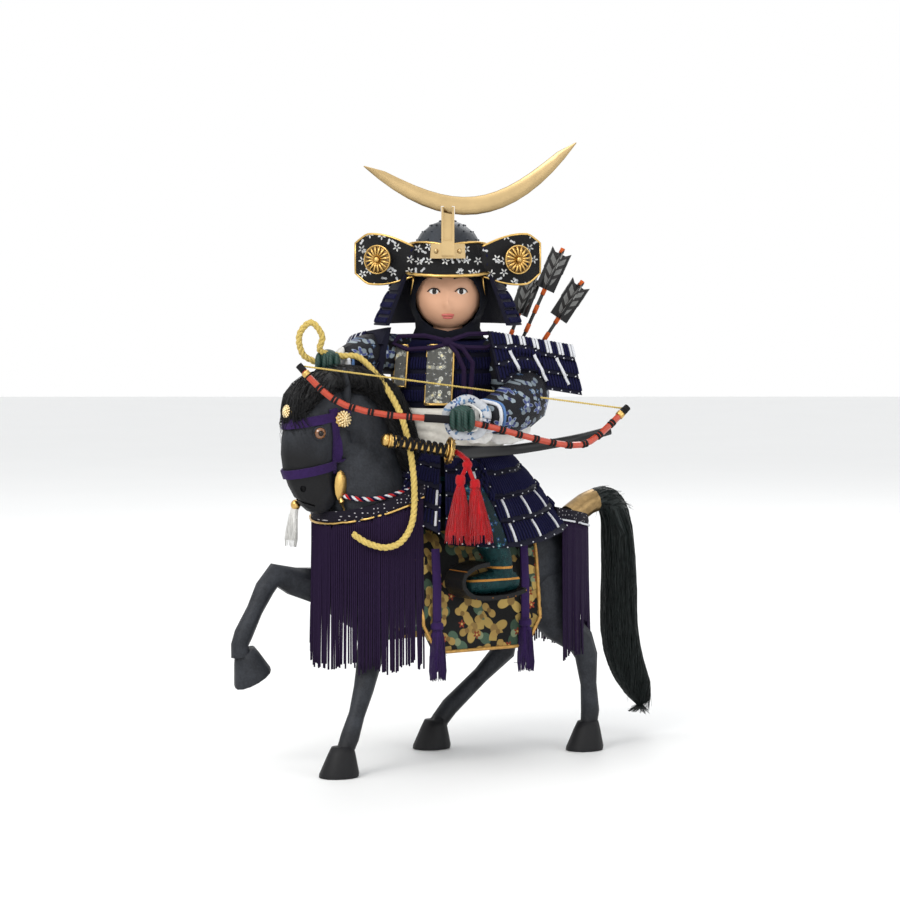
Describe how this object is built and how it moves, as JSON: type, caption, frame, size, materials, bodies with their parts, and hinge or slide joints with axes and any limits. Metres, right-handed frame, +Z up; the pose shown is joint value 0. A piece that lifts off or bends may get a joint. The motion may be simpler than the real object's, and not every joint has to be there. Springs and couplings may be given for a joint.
{
  "type": "samurai doll",
  "caption": "Mounted warrior doll: an armoured rider with a crescent-crested helmet, bow and sword on a prancing dark horse in tasselled harness.",
  "frame": {"origin": "Middle of the outer box seen from above, on the surface that the hooves stand on.", "axes": "+Z is up and is the longest extent, from the soles to the tip of the crescent. +X is to the right of the front view, towards the horse's tail. +Y points from the front view into the depth, and is the shortest extent."},
  "size_m": [0.2932, 0.21, 0.4244],
  "materials": {
    "coat": "matte",
    "amber": "gloss",
    "hair": "matte",
    "gold": "satin",
    "purple": "matte",
    "white": "matte",
    "braid": "matte",
    "rope": "matte",
    "fringe": "matte",
    "lacquer": "gloss",
    "brocade": "matte",
    "skin": "matte",
    "vermilion": "gloss",
    "lacing": "matte",
    "silver": "matte",
    "silk": "matte",
    "glove": "matte",
    "red": "matte",
    "band": "matte"
  },
  "bodies": {
    "root": {"horse_body": "coat", "horse_foreleg_left": "coat", "horse_foreleg_right": "coat", "horse_hindleg_right": "coat", "horse_hindleg_left": "coat", "horse_eye_left": "amber", "horse_eye_right": "amber", "horse_tail": "hair", "horse_mane": "hair", "tail_sleeve": "gold", "rosette_front": "gold", "rosette_left": "gold", "rosette_right": "gold", "bit_left": "gold", "bit_right": "gold", "crest_holder": "gold", "crescent_crest": "gold", "sword": "gold", "bridle": "purple", "saddle_tassel_front": "purple", "saddle_tassel_rear": "purple", "chin_tassel": "white", "waist_sash": "white", "rein_braid": "braid", "rein_cord": "rope", "bowstring": "rope", "breast_fringe": "fringe", "crupper_fringe": "fringe", "helmet_cord": "fringe", "saddle": "lacquer", "stirrup_left": "lacquer", "stirrup_right": "lacquer", "helmet_bowl": "lacquer", "helmet_brim": "lacquer", "scabbard": "lacquer", "quiver": "lacquer", "saddle_flap_left": "brocade", "saddle_flap_right": "brocade", "head": "skin", "bow": "vermilion", "torso_armour": "lacing", "neck_guard": "lacing", "skirt_left": "lacing", "skirt_front": "lacing", "skirt_back": "lacing", "skirt_right": "lacing", "shoulder_guard_left": "lacing", "shoulder_guard_right": "lacing", "chest_panel_left": "silver", "chest_panel_right": "silver", "sleeve_left": "silk", "sleeve_right": "silk", "hood": "silk", "hand_left": "glove", "hand_right": "glove", "leg_left": "glove", "leg_right": "glove", "sash_tassels": "red", "breast_collar": "band", "crupper_band": "band"}
  },
  "joints": []
}
